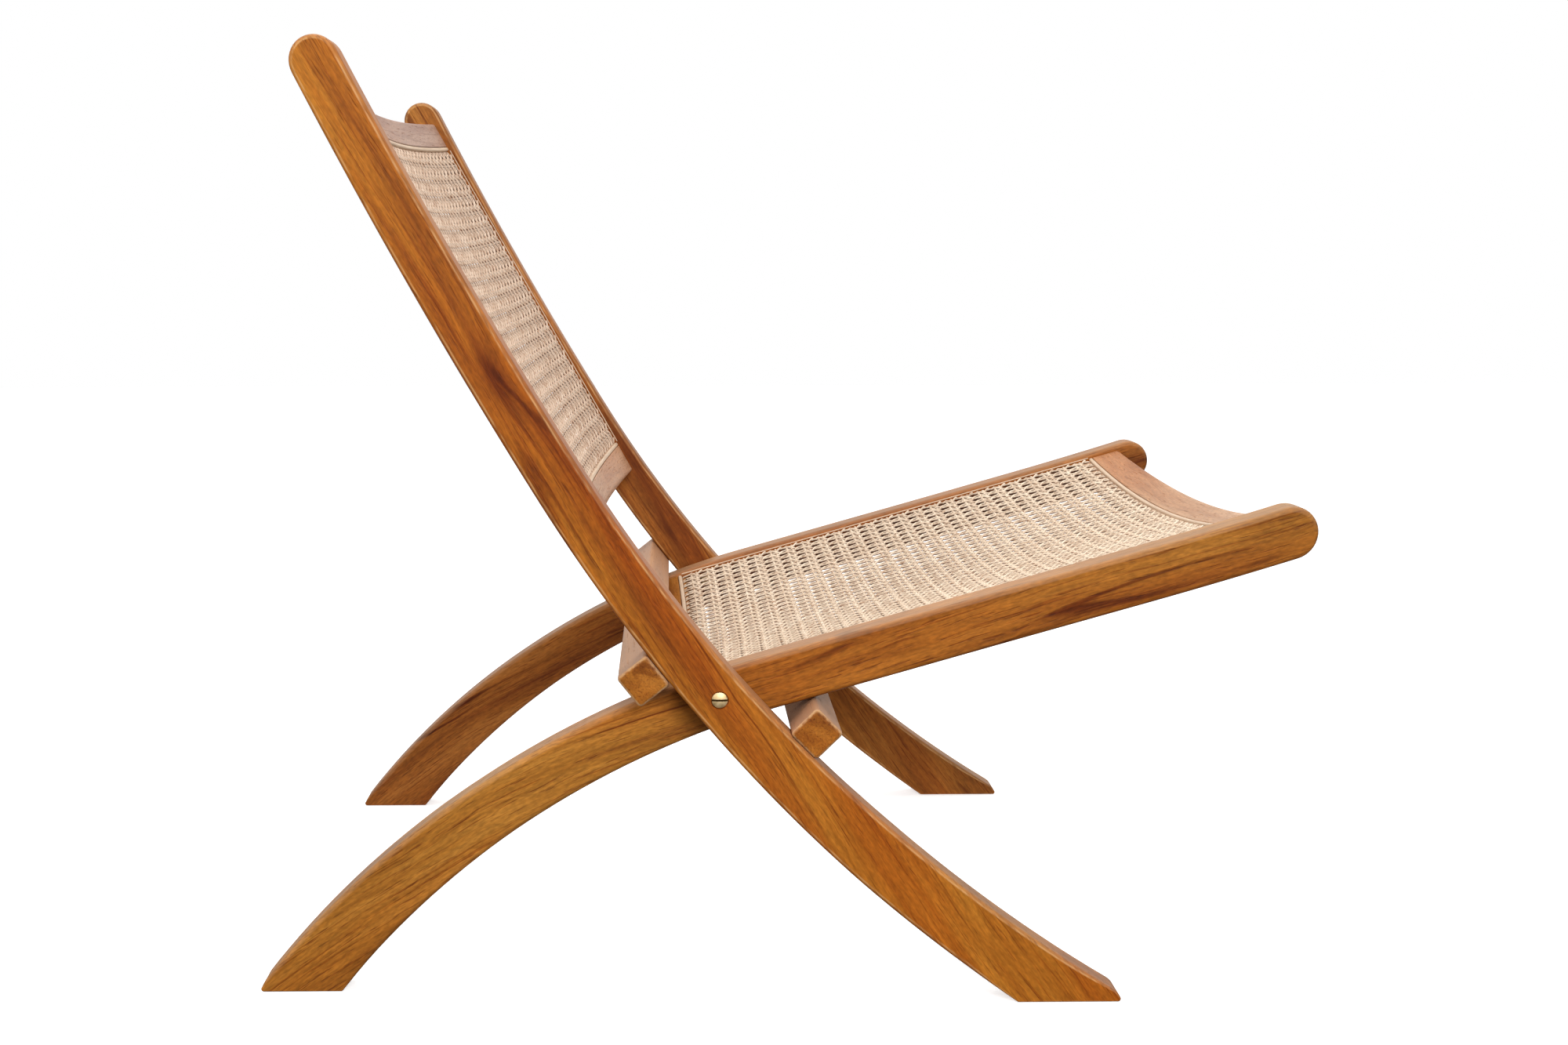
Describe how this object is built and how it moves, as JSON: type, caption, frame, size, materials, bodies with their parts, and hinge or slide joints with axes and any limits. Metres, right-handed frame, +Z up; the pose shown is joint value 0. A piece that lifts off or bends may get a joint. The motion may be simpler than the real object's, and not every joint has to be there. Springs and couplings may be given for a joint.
{
  "type": "folding chair",
  "caption": "Low folding lounge chair: scooped woven-cane seat and back between curved teak rails that cross at side pivots and rest on stop bars.",
  "frame": {"origin": "on the floor, at the middle of the chair's depth and width", "axes": "+X to the front of the chair, +Y to the sitter's left, +Z up"},
  "size_m": [0.7588, 0.6116, 0.6649],
  "materials": {
    "teak_rail": "oiled teak with straight reddish grain, satin",
    "teak_bar": "oiled teak, satin",
    "teak_crossrail": "oiled teak, greyer and pinker than the rails, satin",
    "woven_cane": "natural rattan cane in an eight-way open weave, matt",
    "reed_spline": "natural reed, matt",
    "brass_hardware": "plain brass, lightly brushed",
    "dowel_wood": "plain beech",
    "nylon_washer": "natural nylon"
  },
  "bodies": {
    "back_frame": {"back_rail_left": "teak_rail", "back_rail_right": "teak_rail", "back_top_crossrail": "teak_crossrail", "back_lower_crossrail": "teak_crossrail", "rear_stop_bar": "teak_bar", "front_stop_bar": "teak_bar", "back_cane_panel": "woven_cane", "back_spline_top": "reed_spline", "back_spline_bottom": "reed_spline", "back_spline_left": "reed_spline", "back_spline_right": "reed_spline", "back_dowels": "dowel_wood", "stop_bar_dowels": "dowel_wood", "pivot_bolt_left": "brass_hardware", "pivot_bolt_right": "brass_hardware", "pivot_nut_left": "brass_hardware", "pivot_nut_right": "brass_hardware", "pivot_washer_left": "nylon_washer", "pivot_washer_right": "nylon_washer"},
    "seat_frame": {"seat_rail_left": "teak_rail", "seat_rail_right": "teak_rail", "seat_front_crossrail": "teak_crossrail", "seat_rear_crossrail": "teak_crossrail", "seat_cane_panel": "woven_cane", "seat_spline_front": "reed_spline", "seat_spline_rear": "reed_spline", "seat_spline_left": "reed_spline", "seat_spline_right": "reed_spline", "seat_dowels": "dowel_wood"}
  },
  "joints": [
    {"name": "fold", "type": "hinge", "parent": "back_frame", "child": "seat_frame", "pos_m": [-0.042, 0, 0.2252], "axis": [0, -1, 0], "range_deg": [0, 102]}
  ]
}
